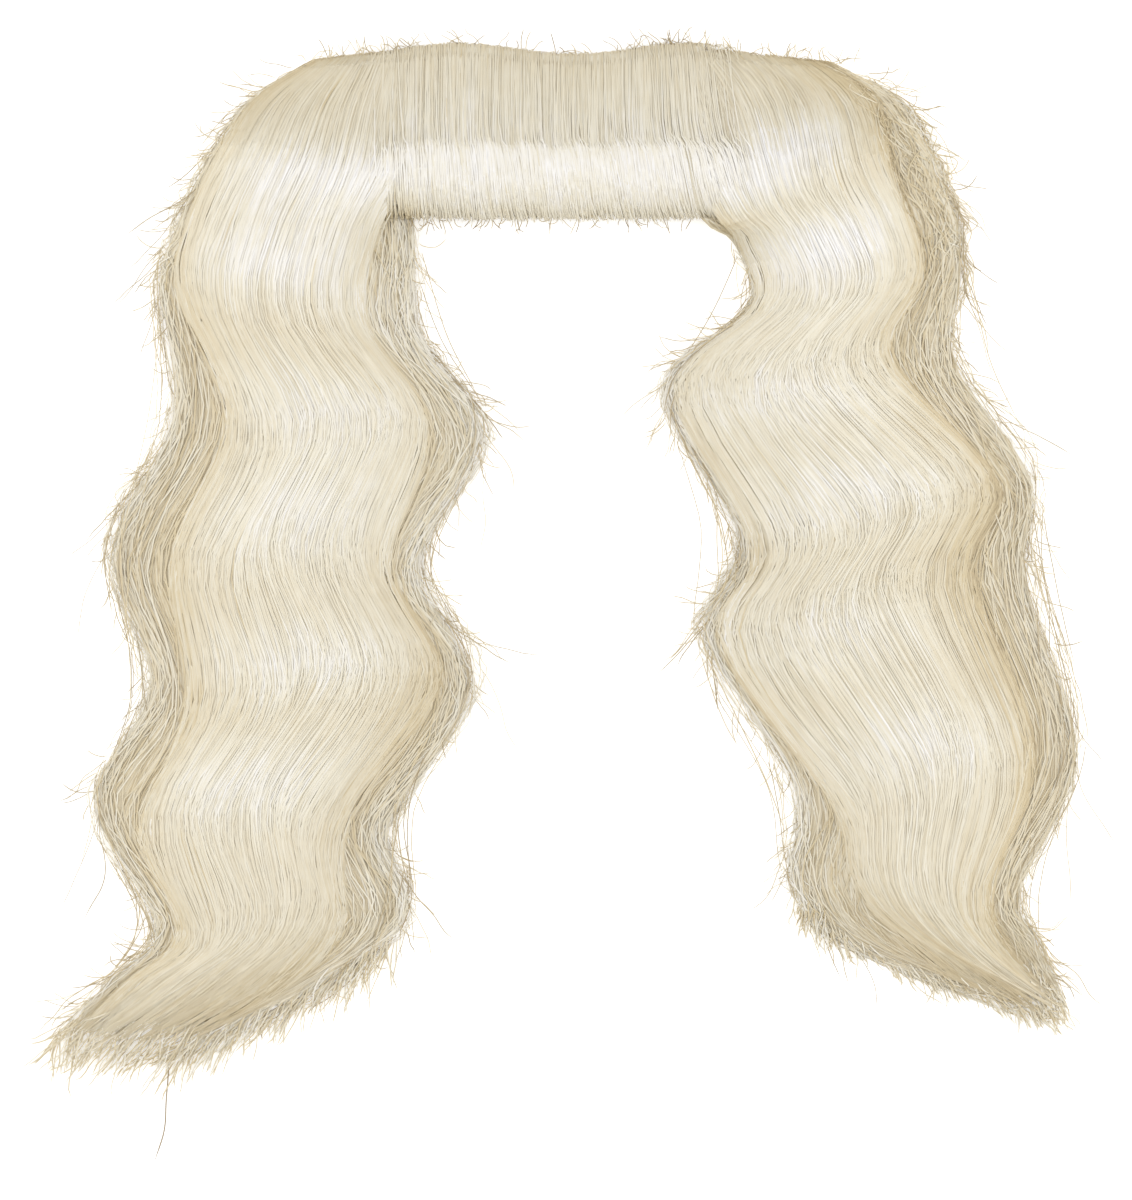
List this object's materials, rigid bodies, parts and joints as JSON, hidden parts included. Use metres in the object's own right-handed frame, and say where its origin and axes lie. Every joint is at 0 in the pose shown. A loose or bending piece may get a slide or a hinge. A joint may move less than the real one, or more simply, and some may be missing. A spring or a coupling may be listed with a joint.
{
  "type": "fake moustache",
  "caption": "Long horseshoe costume moustache of wavy pale blond hair on a stick-on lip strip, with a rolled middle band and a crimped tail hanging down each side of the mouth.",
  "frame": {"origin": "middle of the backing strip's back face, which sticks to the upper lip", "axes": "+X along the lip to the picture's right, +Y up the face towards the roots, +Z out of the face"},
  "size_m": [0.1506, 0.1546, 0.0105],
  "materials": {
    "hair": "satin",
    "strip_cloth": "matte"
  },
  "bodies": {
    "root": {"backing_strip": "strip_cloth", "lip_band": "hair", "left_tail": "hair", "right_tail": "hair"}
  },
  "joints": []
}
